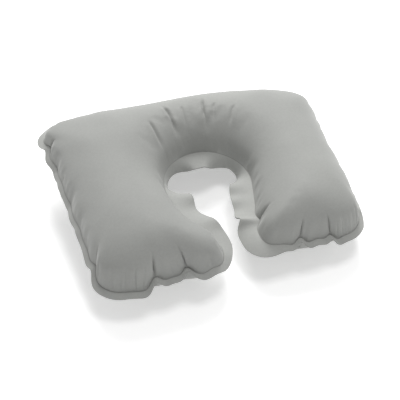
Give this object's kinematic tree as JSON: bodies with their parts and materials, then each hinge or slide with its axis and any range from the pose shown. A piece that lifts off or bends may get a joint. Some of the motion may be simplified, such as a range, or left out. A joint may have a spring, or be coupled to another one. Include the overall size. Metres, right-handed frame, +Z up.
{
  "type": "inflatable neck pillow",
  "caption": "U-shaped inflatable neck pillow of flocked sheet welded round its edge, with a soft push-in mouth valve and a hinged stopper low on the back.",
  "frame": {"origin": "on the ground under the middle of the outline", "axes": "+Z up, +Y to the back of the neck with the arms pointing to -Y, +X across the pillow"},
  "size_m": [0.379, 0.28, 0.1028],
  "materials": {
    "flocked_sheet": "short velvety flock on soft vinyl sheet",
    "clear_vinyl": "soft milky clear vinyl"
  },
  "bodies": {
    "pillow": {"upper_panel": "flocked_sheet", "lower_panel": "flocked_sheet", "valve_collar": "clear_vinyl", "valve_boot": "clear_vinyl"},
    "stem": {"valve_stem": "clear_vinyl"},
    "flap": {"check_flap": "clear_vinyl"},
    "stopper": {"stopper": "clear_vinyl", "stopper_strap": "clear_vinyl"}
  },
  "joints": [
    {"name": "stem_slide", "type": "slide", "parent": "pillow", "child": "stem", "axis": [0, 0.8476, -0.5306], "range_m": [0, 0.012], "deforming": ["valve_boot"]},
    {"name": "flap_open", "type": "hinge", "parent": "stem", "child": "flap", "pos_m": [0, 0.11373, 0.03882], "axis": [-1, 0, 0], "range_deg": [0, 50], "stiffness_Nm_per_rad": 0.00002},
    {"name": "stopper_swing", "type": "hinge", "parent": "stem", "child": "stopper", "pos_m": [0, 0.13207, 0.03335], "axis": [1, 0, 0], "range_deg": [0, 110]}
  ]
}
